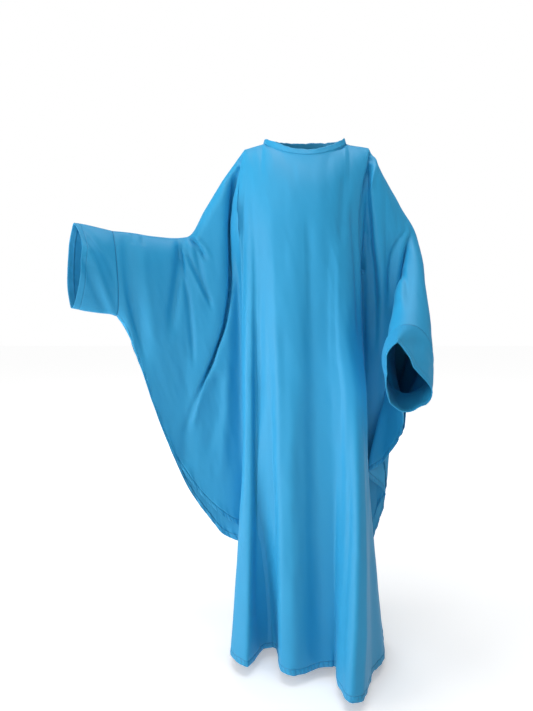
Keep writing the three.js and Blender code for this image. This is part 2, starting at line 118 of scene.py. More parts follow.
BACK_FOLDS = [
    ("right seam", -172, 28, -150, 15, -184, -12),
    ("right turn", -168, 52, -164, 45, -196, 26),
    ("right side", -156, 80, -158, 78, -194, 80),
    ("first ridge", -130, 98, -132, 98, -165, 125),
    ("first valley", -100, 108, -105, 88, -128, 88),
    ("second slope", -65, 114, -72, 110, -85, 138),
    ("second ridge", -30, 116, -32, 126, -38, 178),
    ("middle valley", 0, 116, 5, 110, 6, 134),
    ("third ridge", 35, 116, 42, 124, 46, 168),
    ("third slope", 68, 114, 74, 110, 92, 146),
    ("last valley", 100, 108, 106, 88, 130, 92),
    ("last ridge", 130, 98, 136, 102, 176, 138),
    ("left side", 152, 82, 172, 78, 216, 90),
    ("left turn", 168, 55, 188, 42, 238, 30),
    ("left seam", 170, 28, 168, 12, 232, -20),
]

# Side stitching from the hem up, and above it the edges of the underarm with their half gap
SIDE_STITCH = {
    # z, x, y, half gap
    "right": [(-1400, -184, -12, 0), (-1130, -168, 12, 0), (-820, -150, 15, 0), (-410, -158, 5, 0),
              (-330, -166, 2, 14), (-250, -172, 0, 28)],
    "left": [(-1400, 232, -20, 0), (-1130, 204, 14, 0), (-820, 168, 12, 0), (-410, 166, 5, 0),
             (-330, 168, 2, 14), (-250, 170, 0, 28)],
}

# Wings, from the shoulder to the cuff seam
WING_SECTIONS = {
    # top x, y, z, turn, front reach, back reach, peak, front hem x, y, z, back hem x, y, z
    "right": [
        (-161, 0, -25, 0, 8, 8, 70, -172, 11.3, -1086, -172, 12.7, -1130),
        (-218, 0, -105, 0, 42, 40, 70, -213, 5, -1057, -219, 21, -1112),
        (-270, 0, -187, 2, 44, 40, 70, -266, 0, -1010, -266, 20, -1058),
        (-320, -3, -262, 12, 44, 38, 66, -321, -8, -936, -322, 12, -974),
        (-368, -22, -268, 24, 42, 36, 66, -366, -26, -850, -364, -2, -874),
        (-413, -46, -267, 27, 40, 36, 74, -414, -50, -706, -412, -28, -726),
        (-455, -67, -263, 27, 38, 36, 90, -450, -64, -585, -449, -50, -598),
        (-485, -83, -262, 28, 36, 36, 104, -477, -76, -513, -476, -68, -517),
        (-503, -92, -262, 28, 36, 36, 110, -495, -84, -482, -495, -84, -482),
    ],
    "left": [
        (180, 0, -20, 0, 8, 8, 70, 202, 13.3, -1086, 204, 14.7, -1130),
        (220, 0, -94, 2, 42, 36, 70, 214, 14, -1046, 228, 28, -1066),
        (267, 2, -171, 7, 32, 34, 72, 214, 4, -985, 245, 40, -1006),
        (302, -10, -246, 60, 15, 32, 74, 208, -12, -925, 243, 10, -950),
        (294, -62, -330, 103, 26, 34, 80, 228, -48, -872, 232, -12, -872),
        (277, -112, -408, 109, 48, 46, 86, 256, -104, -786, 264, -84, -786),
        (257, -160, -468, 110, 56, 56, 86, 246, -156, -712, 252, -148, -712),
        (242, -200, -506, 110, 60, 61, 84, 242, -200, -674, 242, -200, -674),
    ],
}

# Deep creases of the wings, along a line of x and z in the front view: half width, depth, line
WING_CREASES = {
    "right": [
        (17, 24, [(-166, -40), (-188, -167), (-200, -370), (-222, -520), (-272, -650), (-332, -880)]),
        (13, 15, [(-340, -262), (-352, -372), (-366, -480), (-372, -560)]),
        (9, 6, [(-312, -262), (-288, -330), (-272, -420)]),
        (13, 13, [(-482, -268), (-468, -400), (-440, -520), (-410, -640)]),
        (20, 12, [(-232, -640), (-262, -800), (-290, -930)]),
    ],
    "left": [
        (14, 12, [(192, -50), (190, -130), (194, -260), (198, -420), (206, -640), (214, -860)]),
    ],
}

# Small folds laid on top: depth (a ridge where it is below zero), half width to the right and to the
# left of the line as it is seen in the picture's own left and right, and the line from its top
FRONT_SMALL_FOLDS = [
    # depth, half width at -x side, half width at +x side, line of x, z
    (2.5, 8, 10, [(-140, -150), (-133, -298), (-128, -440)]),
    (4.0, 8, 12, [(-128, -500), (-128, -982), (-125, -1250), (-112, -1400)]),
    (-27.0, 15, 15, [(-116, -640), (-112, -1000), (-106, -1250), (-99, -1400)]),
    (9.0, 7, 5, [(-88, -600), (-84, -860), (-79, -1100), (-77, -1235), (-75, -1400)]),
    (-5.0, 8, 14, [(-62, -900), (-60, -1219), (-58, -1400)]),
    (7.0, 24, 30, [(0, -230), (9, -443), (24, -701), (28, -911), (28, -1219), (26, -1400)]),
    (3.0, 5, 16, [(0, -215), (6, -330), (12, -520)]),
    (5.5, 4, 6, [(96, -640), (94, -800), (88, -1050), (80, -1250), (77, -1400)]),
    (-5.0, 8, 12, [(114, -640), (110, -1000), (102, -1250), (97, -1400)]),
    (-6.0, 12, 7, [(128, -560), (131, -800), (132, -1050), (130, -1250), (124, -1400)]),
    (-3.5, 6, 5, [(150, -540), (154, -760), (158, -960), (160, -1150)]),
    (5.0, 12, 14, [(105, -105), (98, -190), (92, -320)]),
    (9.5, 11, 12, [(122, -165), (136, -330), (148, -600)]),
    (2.5, 14, 14, [(-60, -480), (-52, -700), (-48, -900)]),
    (-3.0, 22, 22, [(72, -300), (74, -640), (76, -900)]),
    (-3.0, 18, 18, [(-86, -160), (-88, -330), (-90, -640)]),
    # The long deep valley between the body and the right wing
    (-19.0, 18, 18, [(-166, -40), (-188, -167), (-200, -370), (-222, -520), (-272, -650),
                     (-332, -880)]),
    (30.0, 9, 6, [(-183, -60), (-191, -164), (-196, -244), (-200, -381), (-213, -492), (-246, -594),
                  (-281, -676), (-302, -735)]),
    (9.0, 12, 8, [(-236, -572), (-267, -645), (-300, -725), (-334, -832)]),
    (12.0, 5, 5, [(-167, -36), (-174, -66), (-181, -110), (-188, -170)]),
    # Folds that fan out from the bend of the right sleeve
    (8.0, 8, 8, [(-343, -262), (-328, -350), (-310, -458), (-303, -560), (-300, -640)]),
    (-7.0, 12, 7, [(-338, -262), (-327, -292), (-299, -357), (-278, -400), (-262, -438), (-254, -456)]),
    (10.0, 6, 9, [(-330, -280), (-299, -352), (-276, -400), (-256, -442), (-248, -470)]),
    (9.0, 6, 8, [(-318, -258), (-283, -300), (-262, -334)]),
    (-4.0, 8, 8, [(-300, -258), (-268, -296), (-248, -332)]),
    (4.0, 3, 5, [(-454, -260), (-448, -300)]),
    (3.0, 3, 5, [(-430, -262), (-424, -300)]),
    (5.0, 7, 10, [(-474, -270), (-466, -380), (-452, -480), (-436, -560), (-420, -620)]),
    (-3.0, 6, 7, [(-484, -285), (-478, -400), (-470, -480)]),
    (-3.0, 12, 12, [(-424, -280), (-415, -420), (-402, -560)]),
    (5.0, 16, 18, [(-314, -771), (-329, -856), (-338, -930)]),
    (4.0, 18, 18, [(-222, -700), (-240, -780), (-268, -880)]),
    (-3.0, 14, 14, [(-200, -560), (-214, -740), (-226, -960)]),
    # The deep valley between the body and the left sleeve, with the sleeve's edge beside it
    (16.0, 7, 7, [(186, -54), (174, -105), (161, -175), (157, -216), (161, -293), (167, -439),
                  (171, -546), (177, -717)]),
    (13.0, 5, 5, [(186, -30), (179, -75), (171, -110), (158, -170)]),
    (-5.0, 7, 9, [(196, -30), (190, -75), (183, -120), (176, -170)]),
    (11.0, 12, 7, [(180, -170), (182, -270), (193, -370), (200, -470), (204, -600)]),
    (-17.0, 9, 18, [(192, -50), (184, -120), (196, -251), (214, -385), (222, -500)]),
    (6.0, 6, 9, [(288, -232), (267, -263), (250, -291), (238, -323), (233, -369), (231, -430)]),
    (-10.0, 14, 20, [(290, -220), (268, -296), (257, -360), (251, -420), (246, -500)]),
    (4.0, 4, 4, [(284, -262), (272, -330), (266, -396), (256, -460)]),
    (2.6, 10, 10, [(214, -560), (212, -700), (206, -900)]),
    (2.5, 12, 14, [(236, -120), (248, -180), (262, -250)]),
]
BACK_SMALL_FOLDS = [
    (4.0, 10, 14, [(-70, -160), (-74, -400), (-78, -760), (-92, -1400)]),
    (-3.0, 12, 12, [(-40, -300), (-38, -760), (-40, -1400)]),
    (4.5, 12, 10, [(60, -180), (62, -500), (70, -900), (88, -1400)]),
    (-3.5, 14, 14, [(100, -700), (118, -1000), (140, -1400)]),
    (5.0, 8, 12, [(-150, -120), (-172, -260), (-188, -460), (-200, -700), (-226, -960)]),
    (5.0, 12, 8, [(160, -110), (186, -260), (198, -460), (208, -720)]),
    (4.5, 8, 8, [(-232, -140), (-262, -300), (-284, -480), (-300, -720)]),
    (-4.0, 10, 10, [(-300, -300), (-318, -460), (-330, -640)]),
    (5.0, 7, 9, [(-352, -275), (-366, -400), (-378, -560)]),
    (3.5, 8, 8, [(-420, -275), (-424, -380), (-420, -520)]),
    (4.0, 9, 9, [(236, -130), (252, -230), (262, -330)]),
]

# Open ends of the cuffs, round from the top by the front
CUFF_RIMS = {
    "right": [(-586, -135, -249), (-559, -165, -297), (-553, -180, -348), (-569, -165, -420),
              (-591, -145, -464), (-611, -120, -422), (-614, -110, -365), (-604, -118, -289)],
    "left": [(189, -325, -542), (167, -325, -569), (164, -320, -612), (173, -305, -676),
             (207, -295, -703), (260, -285, -695), (281, -280, -664), (224, -310, -600)],
}

# Folds of the cuffs: depth, half width round, half width along, then where it starts and ends as
# turns round from the top by the front and as a share of the way out
CUFF_FOLDS = {
    "right": [
        # depth, half width in turns, turn at start, turn at end, way out at start, way out at end
        (4.0, 0.035, 0.07, 0.27, 0.80, 0.05),
        (-4.5, 0.035, 0.17, 0.42, 0.85, 0.10),
        (4.5, 0.040, 0.26, 0.48, 0.90, 0.15),
        (3.0, 0.035, 0.62, 0.70, 1.0, 0.20),
        (2.5, 0.030, 0.94, 0.84, 1.0, 0.30),
    ],
    "left": [
        (4.0, 0.035, 0.98, 0.86, 1.0, 0.20),
        (-3.0, 0.035, 0.90, 0.78, 1.0, 0.30),
        (3.0, 0.030, 0.04, 0.14, 1.0, 0.25),
        (3.0, 0.035, 0.60, 0.66, 1.0, 0.20),
        (2.0, 0.030, 0.36, 0.32, 1.0, 0.30),
    ],
}

# Third ridge of the front: how far it leans over to the left below the hip, and where its middle lies
RIDGE_LEAN_Z, RIDGE_LEAN = [-1400, -1200, -1000, -700, -560], [3, 14, 18, 16, 0]
RIDGE_X, RIDGE_HALF = 105, 45
# Lower edge of the left wing's front layer: how far it turns sideways and stands forward, each with its
# place and half width as shares of the way out
EDGE_TURNS = [(24, 0.29, 0.075), (-27, 0.45, 0.075)]
EDGE_FORWARD = (10, 0.45, 0.09)
# The bend below each end of the neck: rounds of evening out, their strength and their reach
EVEN_ROUNDS, EVEN_STRENGTH, EVEN_REACH = 140, 0.5, 46
# How far the right side stitching is carried forward in the hollow of the big fold
SIDE_FORWARD = 44

CAMERA_AT = (-0.10, -1.50, -0.52)
CAMERA_LENS = 27.09
CAMERA_DOWN = 2.7
FLOOR_Z = -1.43
FLOOR_REACH = 30.0
WORLD_LIGHT = 0.05
# Painted light: how strongly the floor glows near the middle and far out, and where it changes between
# them
FLOOR_GLOW_NEAR, FLOOR_GLOW_FAR = 0.31, 0.93
FLOOR_GLOW_FROM, FLOOR_GLOW_OVER = 1.4, 3.2
LAMPS = [
    # name, place, height that it faces, size, watts
    ("left", (-3.78, -1.3, -0.3), -0.65, 2.4, 114),
    ("front", (-1.25, -3.0, 1.6), -0.65, 2.4, 38),
    ("right", (3.2, 0.0, 1.6), -0.65, 2.4, 7),
    ("top", (0.1, -0.4, 2.6), -0.5, 2.2, 76),
    ("back", (-0.6, 3.2, 1.2), -0.5, 2.4, 40),
]

# Crepe: its colours, the painted shade of its grooves and tucks among them, then lengths in metres
DEEP = (0.009, 0.268, 0.515, 1.0)
LIGHT = (0.017, 0.325, 0.605, 1.0)
# Painted shade: the dark blue laid into the grooves and tucks
GROOVE_SHADE = (0.010, 0.125, 0.28, 1.0)
THREAD = (0.055, 0.34, 0.62, 1.0)
SHEEN = (0.35, 0.72, 1.0, 1.0)
RIB_PITCH, TWIST_PITCH = 0.0011, 0.0008
STITCH_FROM_EDGE, STITCH_HALF = 0.0145, 0.0005
STITCH_PITCH, STITCH_SHARE = 0.0032, 0.74
FOLD_FROM_EDGE, FOLD_HALF, SEAM_HALF = 0.0148, 0.0016, 0.0022
TUCK_PITCH, TUCK_FROM_EDGE, TUCK_EASE = 0.012, 0.0152, 0.0012
TUCK_FROM_SEAM, TUCK_SEAM_EASE = 0.13, 0.05
GRAIN_RISE, THREAD_RISE, GROOVE_SINK, TUCK_SINK = 0.00005, 0.00035, 0.0003, 0.0009


def mix(a, b, t):
    """a + (b - a) t."""
    return a + (b - a) * t


def smooth(low, high, x):
    """3 t^2 - 2 t^3 of the way from low to high, held at 0 and 1 outside."""
    t = np.clip((x - low) / (high - low), 0, 1)
    return t * t * (3 - 2 * t)


def curve_through(xs, ys):
    """A cubic through the rows of ys at xs whose slope at a row is the weighted harmonic mean of the
    slopes on its two sides, and zero where the values turn."""
    xs, ys = np.asarray(xs, float), np.asarray(ys, float)
    steps = np.diff(xs)
    wide = (-1,) + (1,) * (ys.ndim - 1)
    rates = np.diff(ys, axis=0) / steps.reshape(wide)
    slopes = np.concatenate([rates[:1], rates[:1].repeat(len(xs) - 2, 0), rates[-1:]])
    if len(xs) > 2:
        before, after = rates[:-1], rates[1:]
        first = (2 * steps[1:] + steps[:-1]).reshape(wide)
        second = (steps[1:] + 2 * steps[:-1]).reshape(wide)
        turns = before * after <= 0
        safe = [np.where(turns, 1, r) for r in (before, after)]
        slopes[1:-1] = np.where(turns, 0, (first + second) / (first / safe[0] + second / safe[1]))

    def value(x):
        x = np.asarray(x, float)
        i = np.searchsorted(xs[1:-1], x)
        h = steps[i]
        t = np.clip((x - xs[i]) / h, 0, 1)
        h, t = (a.reshape(a.shape + (1,) * (ys.ndim - 1)) for a in (h, t))
        return ((2 * t**3 - 3 * t**2 + 1) * ys[i] + (t**3 - 2 * t**2 + t) * h * slopes[i]
                + (3 * t**2 - 2 * t**3) * ys[i + 1] + (t**3 - t**2) * h * slopes[i + 1])

    return value


def drift(a, b, seed, octaves=2):
    """Soft noise of two coordinates: lattice values blended by smooth steps, each octave twice as fine
    and half as high."""
    values = np.random.default_rng(seed).uniform(-1, 1, (64, 64))
    total = np.zeros(np.broadcast(a, b).shape)
    for k in range(octaves):
        x, y = a * 2**k + 7.3 * k, b * 2**k + 3.1 * k
        i, j = np.floor(x).astype(int), np.floor(y).astype(int)
        u, v = smooth(0, 1, x - i), smooth(0, 1, y - j)
        corner = lambda p, q: values[(i + p) % 64, (j + q) % 64]
        total += mix(mix(corner(0, 0), corner(1, 0), u), mix(corner(0, 1), corner(1, 1), u), v) / 2**k
    return total


def neck_point(x, layer):
    """An ellipse in plan through the two side neck points, lowered at the front, raised at the back."""
    across = np.sqrt(np.clip(1 - ((x - NECK_X) / NECK_HALF) ** 2, 0, None))
    if layer == "front":
        return np.stack([x, -NECK_FRONT * across, NECK_Z - NECK_DROP * across**1.6], -1)
    return np.stack([x, NECK_BACK * across, NECK_Z + NECK_RISE * across], -1)


def top_point(x, layer):
    """The neck seam, then straight lines from its ends out to the shoulders."""
    out = np.abs(x - NECK_X) - NECK_HALF
    ends = np.where(x < 0, SHOULDER["right"][0], SHOULDER["left"][0])
    drop = np.where(x < 0, SHOULDER["right"][1], SHOULDER["left"][1])
    share = np.clip(out / (np.abs(ends - NECK_X) - NECK_HALF), 0, None)
    line = np.stack([x, np.zeros_like(x), mix(NECK_Z, drop, share)], -1)
    return np.where((out < 0)[..., None], neck_point(x, layer), line)


def side_tilt(z):
    """How far the edge of a panel turns out of the front plane below the wings, in radians."""
    return SIDE_TILT * smooth(WING_END_Z["back"] - 90, WING_END_Z["back"], z)


class Body:
    """The body of a panel over u, the way round it from the right side seam, and over z, a height
    below the chest, or t, the way down above it."""

    def __init__(self, layer):
        self.layer = layer
        self.outward = -1 if layer == "front" else 1
        table = np.array([row[1:] for row in (FRONT_FOLDS if layer == "front" else BACK_FOLDS)], float)
        chest, hem = np.diff(table[:, 0:2], axis=0), np.diff(table[:, 4:6], axis=0)
        steps = (np.hypot(*chest.T) + np.hypot(*hem.T)) / 2
        self.stops = np.concatenate([[0], np.cumsum(steps)])
        self.end = self.stops[-1]
        self.fold_lines = curve_through(self.stops, table)
        self.edge_x = {"right": table[0, 0], "left": table[-1, 0]}

    def section(self, u, z):
        """Plan position: a cubic in z through the hem, hip and chest positions of the fold lines."""
        lines = self.fold_lines(u)
        levels = np.stack([lines[:, 4:6], lines[:, 2:4], lines[:, 0:2]])
        return curve_through([HEM_Z, HIP_Z, CHEST_Z], levels)(z)

    def below(self, u, z):
        """The section, pulled on to the side stitching within 45 mm of each edge."""
        plan = self.section(u, z)
        for side, edge in (("right", 0.0), ("left", self.end)):
            pull = 1 - smooth(0, 45, np.abs(u - edge))
            rows = np.array(SIDE_STITCH[side], float)
            stitch = curve_through(rows[:, 0], rows[:, 1:])(z)
            stand = stitch[:, 2] - SIDE_OVERLAP / 2 + CLOTH_WALL / 2 * np.sin(side_tilt(z))
            target = np.stack([stitch[:, 0], stitch[:, 1] + self.outward * stand], -1)
            at_edge = self.section(np.array([edge]), z)[:, 0]
            plan = plan + pull[None, :, None] * (target - at_edge)[:, None]
        return np.concatenate([plan, np.broadcast_to(z[:, None, None], plan.shape[:2] + (1,))], -1)

    def top_x(self, u):
        """Where a column meets the top edge: its chest position, eased out to the shoulder point."""
        x = self.fold_lines(u)[..., 0]
        edge = np.where(x < 0, self.edge_x["right"], self.edge_x["left"])
        shoulder = np.where(x < 0, SHOULDER["right"][0], SHOULDER["left"][0])
        return x + smooth(60, np.abs(edge), np.abs(x)) * (shoulder - edge)

    def above(self, u, t):
        """A cubic Bezier from the top edge to the chest, leaving outwards over the shoulder and
        arriving straight down."""
        start = top_point(self.top_x(u), self.layer)
        finish = self.below(u, np.array([float(CHEST_Z)]))[0]
        over = smooth(-70, 24, np.abs(start[:, 0] - NECK_X) - NECK_HALF)
        none = np.zeros_like(over)
        leave = start + np.stack([none, self.outward * mix(14, 62, over), mix(-48, -6, over)], -1)
        arrive = finish + np.array([0, self.outward * 3, 105])
        t = t[:, None, None]
        s = 1 - t
        return s**3 * start + 3 * s**2 * t * leave + 3 * s * t**2 * arrive + t**3 * finish

    def columns(self, spacing):
        """Even steps of u with one column moved on to each end of the neck seam."""
        u = np.linspace(0, self.end, int(round(self.end / spacing)) + 1)
        fine = np.linspace(0, self.end, 4000)
        for neck_end in (NECK_X - NECK_HALF, NECK_X + NECK_HALF):
            at = np.interp(neck_end, self.top_x(fine), fine)
            u[np.argmin(np.abs(u - at))] = at
        return u


def crease_depth(creases, x, z):
    """Sum of valleys: depth times a Gaussian across the line, fading in just at its top and out over
    its lowest 35 hundredths."""
    depth = np.zeros_like(x)
    for half, deepest, line in creases:
        rising = np.array(line[::-1], float)
        low, high = rising[0, 1], rising[-1, 1]
        fade = smooth(low, low + 0.35 * (high - low), z) * (1 - smooth(high - 12, high + 4, z))
        across = (x - curve_through(rising[:, 1], rising[:, 0])(z)) / half
        depth += deepest * fade * np.exp(-across * across)
    return depth


def small_folds(folds, x, z):
    """Sum of folds: depth times 1 / (1 + a^2 + a^4) across the line, with its own half width to each
    side. A fold fades in over its top fifth and out over its lowest 30 hundredths; one that runs to the
    hem fades in over its top 55 hundredths and keeps its depth from there."""
    depth = np.zeros_like(x)
    for deepest, before, after, line in folds:
        rising = np.array(line[::-1], float)
        low, high = rising[0, 1], rising[-1, 1]
        if low > HEM_Z:
            fade = ((1 - smooth(mix(low, high, 0.8), high + 2, z))
                    * smooth(low - 2, mix(low, high, 0.3), z))
        else:
            fade = 1 - smooth(mix(low, high, 0.45), high + 2, z)
        offset = x - curve_through(rising[:, 1], rising[:, 0])(z)
        a = offset / np.where(offset < 0, before, after)
        depth += deepest * fade / (1 + a**2 + a**4)
    return depth


def wing_layer(side, layer):
    """One layer of a wing over w, the way out along the sleeve, and t, the way down: the line over the
    sleeve carried down to the lower edge, standing off it by the reach times a quarter ellipse down to
    the crest and a half cosine below it, which closes to an ellipse at the cuff."""
    table = np.array(WING_SECTIONS[side], float)
    run = np.linalg.norm(np.diff(table[:, :3], axis=0), axis=1)
    along = np.concatenate([[0], np.cumsum(run)]) / run.sum()
    sections = curve_through(along, table)
    front = layer == "front"
    sideways = (1 if side == "right" else -1) * (1 if front else -1)
    facing = 1 if front else -1

    def point(w, t):
        row = np.moveaxis(sections(w), -1, 0)
        top, turn, reach, peak = row[0:3], np.radians(row[3]), row[4 if front else 5], row[6]
        hem = row[7:10] if front else row[10:13]
        length = top[2] - hem[2]
        crest = np.minimum(0.5, peak / length)
        upper = t < crest
        away = np.where(upper, (crest - t) / crest, (t - crest) / (1 - crest))
        ellipse = np.sqrt(np.clip(1 - away**2, 0, None))
        closing = smooth(0.86, 1, w)
        fall = np.where(upper, ellipse, mix(0.5 + 0.5 * np.cos(np.pi * away), ellipse, closing))
        hang = smooth(0, 1, t) * 0.6 + t * 0.4
        x, y, z = mix(top[0], hem[0], hang), mix(top[1], hem[1], hang), mix(top[2], hem[2], t)
        pressed = crease_depth(WING_CREASES[side], x, z) * (1 - closing) * (1 if front else -0.35)
        seam = (CLOTH_WALL * closing * smooth(0.94, 1, t)
                - SHOULDER_OVERLAP / 2 * (1 - smooth(0, 0.02, t)))
        off = (reach - pressed) * fall + seam
        return np.stack([x + sideways * np.sin(turn) * off, y - facing * np.cos(turn) * off, z], -1)

    return point, along, table


def hem_rows(top, bottom, spacing, gather=1.0):
    """Heights from top down to bottom: even shares raised to the power of gather, then the close rows
    of a turned hem."""
    free = top - bottom - HEM_SPAN
    share = np.linspace(0, 1, int(round(free / spacing)) + 1) ** gather
    return np.concatenate([top - free * share, bottom + HEM_ROWS])


def panel_points(layer):
    """Points of a panel: an upper grid from cuff to cuff and a lower one under the body."""
    body = Body(layer)
    u = body.columns(COLUMN)
    wing_end = WING_END_Z[layer]
    heights = hem_rows(CHEST_Z, wing_end, COLUMN * UPPER_ROW, GATHER)[1:]

    def upper(columns):
        high = body.above(columns, TOP_ROWS)
        past = SHOULDER_OVERLAP / 2 * body.outward * (1 - smooth(0.05, 0.12, TOP_ROWS))
        high[..., 1] -= past[:, None]
        return np.concatenate([high, body.below(columns, heights)])

    middle = upper(u)
    wings = {}
    for side, edge in (("right", 0), ("left", -1)):
        layer_at, along, table = wing_layer(side, layer)
        seam = middle[:, edge]
        first, last = seam[0, 2], seam[-1, 2]
        length = first - last
        steps = int(round(np.linalg.norm(np.diff(table[:, :3], axis=0), axis=1).sum() / COLUMN))
        w = np.arange(1, steps + 1) / steps
        start = (first - seam[:, 2]) / length
        sections = curve_through(along, table)(w)
        span = sections[:, 2] - sections[:, 9 if layer == "front" else 12]
        keep = HEM_SPAN / length
        share = HEM_SPAN / span
        from_end = (1 - start)[:, None]
        t = np.where(from_end <= keep, 1 - from_end * length / span,
                     (1 - share) * (start[:, None] / (1 - keep)))
        seam_at = np.stack([np.interp(t, start, seam[:, k]) for k in range(3)], -1)
        leaving = smooth(0, 0.16, w)[None, :, None]
        wide_w = np.broadcast_to(w, t.shape)
        anchored = (seam_at - layer_at(np.zeros_like(t), t)) * (1 - leaving)
        wings[side] = layer_at(wide_w, t) + anchored
    upper_grid = np.concatenate([wings["right"][:, ::-1], middle, wings["left"]], 1)
    lower_z = hem_rows(wing_end, HEM_Z, COLUMN * LOWER_ROW)[1:]
    return upper_grid, body.below(u, lower_z), wings["right"].shape[1], len(u), u, body


def quads_of(ids, closed=False):
    """The quads between neighbouring ids of a grid, round it as well where it is closed."""
    if closed:
        ids = np.concatenate([ids, ids[:, :1]], 1)
    return np.stack([ids[:-1, :-1], ids[1:, :-1], ids[1:, 1:], ids[:-1, 1:]], -1).reshape(-1, 4)


def point_normals(points, quads):
    """The sum of the cross products of the diagonals of the quads round a point, at unit length."""
    a, b, c, d = (points[quads[:, k]] for k in range(4))
    across = np.cross(c - a, d - b)
    normals = np.stack([np.bincount(quads.ravel(), np.repeat(across[:, k], 4), len(points))
                        for k in range(3)], -1)
    return normals / np.maximum(np.linalg.norm(normals, axis=1, keepdims=True), 1e-12)


def open_edges(quads):
    """The directed edges that no other quad runs the other way."""
    edges = np.stack([quads, np.roll(quads, -1, 1)], -1).reshape(-1, 2)
    keys = edges[:, 0].astype(np.int64) << 32 | edges[:, 1]
    turned = edges[:, 1].astype(np.int64) << 32 | edges[:, 0]
    return edges[~np.isin(keys, turned)]


def shell(points, quads, normals, outside, inside):
    """A sheet closed into a wall: points moved out and in along their normals, edges bridged."""
    count = len(points)
    walls = np.concatenate([points + normals * outside[:, None], points - normals * inside[:, None]])
    rim = open_edges(quads)
    bridge = np.stack([rim[:, 1], rim[:, 0], rim[:, 0] + count, rim[:, 1] + count], -1)
    return walls, np.concatenate([quads, quads[:, ::-1] + count, bridge])


def way_along(points, ids, axis):
    """Running length along one axis of a grid of points."""
    grid = points[ids]
    steps = np.linalg.norm(np.diff(grid, axis=axis), axis=-1)
    return np.insert(np.cumsum(steps, axis), 0, 0, axis)


def wall_halves(cloth, hem):
    """Half the cloth outwards and half inwards, thicker inside over a turned hem, and both drawn in
    over the last millimetre to a rounded edge."""
    turned = 1 - smooth(HEM_WIDTH - 0.6, HEM_WIDTH + 0.2, hem)
    edge_round = mix(0.45, 1, smooth(0, 1.0, hem))
    return cloth / 2 * edge_round, (cloth / 2 + HEM_EXTRA * turned) * edge_round


def stitch_groove(hem):
    """A Gaussian on the stitch line of a turned hem."""
    return np.exp(-((hem - HEM_WIDTH) / 1.3) ** 2)


def make_piece(name, walls, faces, cloth_uv, hem, seam):
    """A mesh object at the origin from points in millimetres, with its cloth map and its distances to
    the hem and to the seam, riding on the root body."""
    mesh = bpy.data.meshes.new(name)
    mesh.vertices.add(len(walls))
    mesh.vertices.foreach_set("co", (walls / 1000).astype(np.float32).ravel())
    mesh.loops.add(faces.size)
    mesh.loops.foreach_set("vertex_index", faces.astype(np.int32).ravel())
    mesh.polygons.add(len(faces))
    mesh.polygons.foreach_set("loop_start", np.arange(0, faces.size, 4, dtype=np.int32))
    mesh.update(calc_edges=True)
    mesh.uv_layers.new(name="cloth").data.foreach_set("uv", (cloth_uv[faces.ravel()] / 1000).ravel())
    for label, distance in (("hem", hem), ("seam", seam)):
        mesh.attributes.new(label, "FLOAT", "POINT").data.foreach_set("value", distance / 1000)
    mesh.shade_smooth()
    mesh.set_sharp_from_angle(angle=math.radians(50))
    piece = bpy.data.objects.new(name, mesh)
    bpy.context.scene.collection.objects.link(piece)
    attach(piece, "root")
    return piece


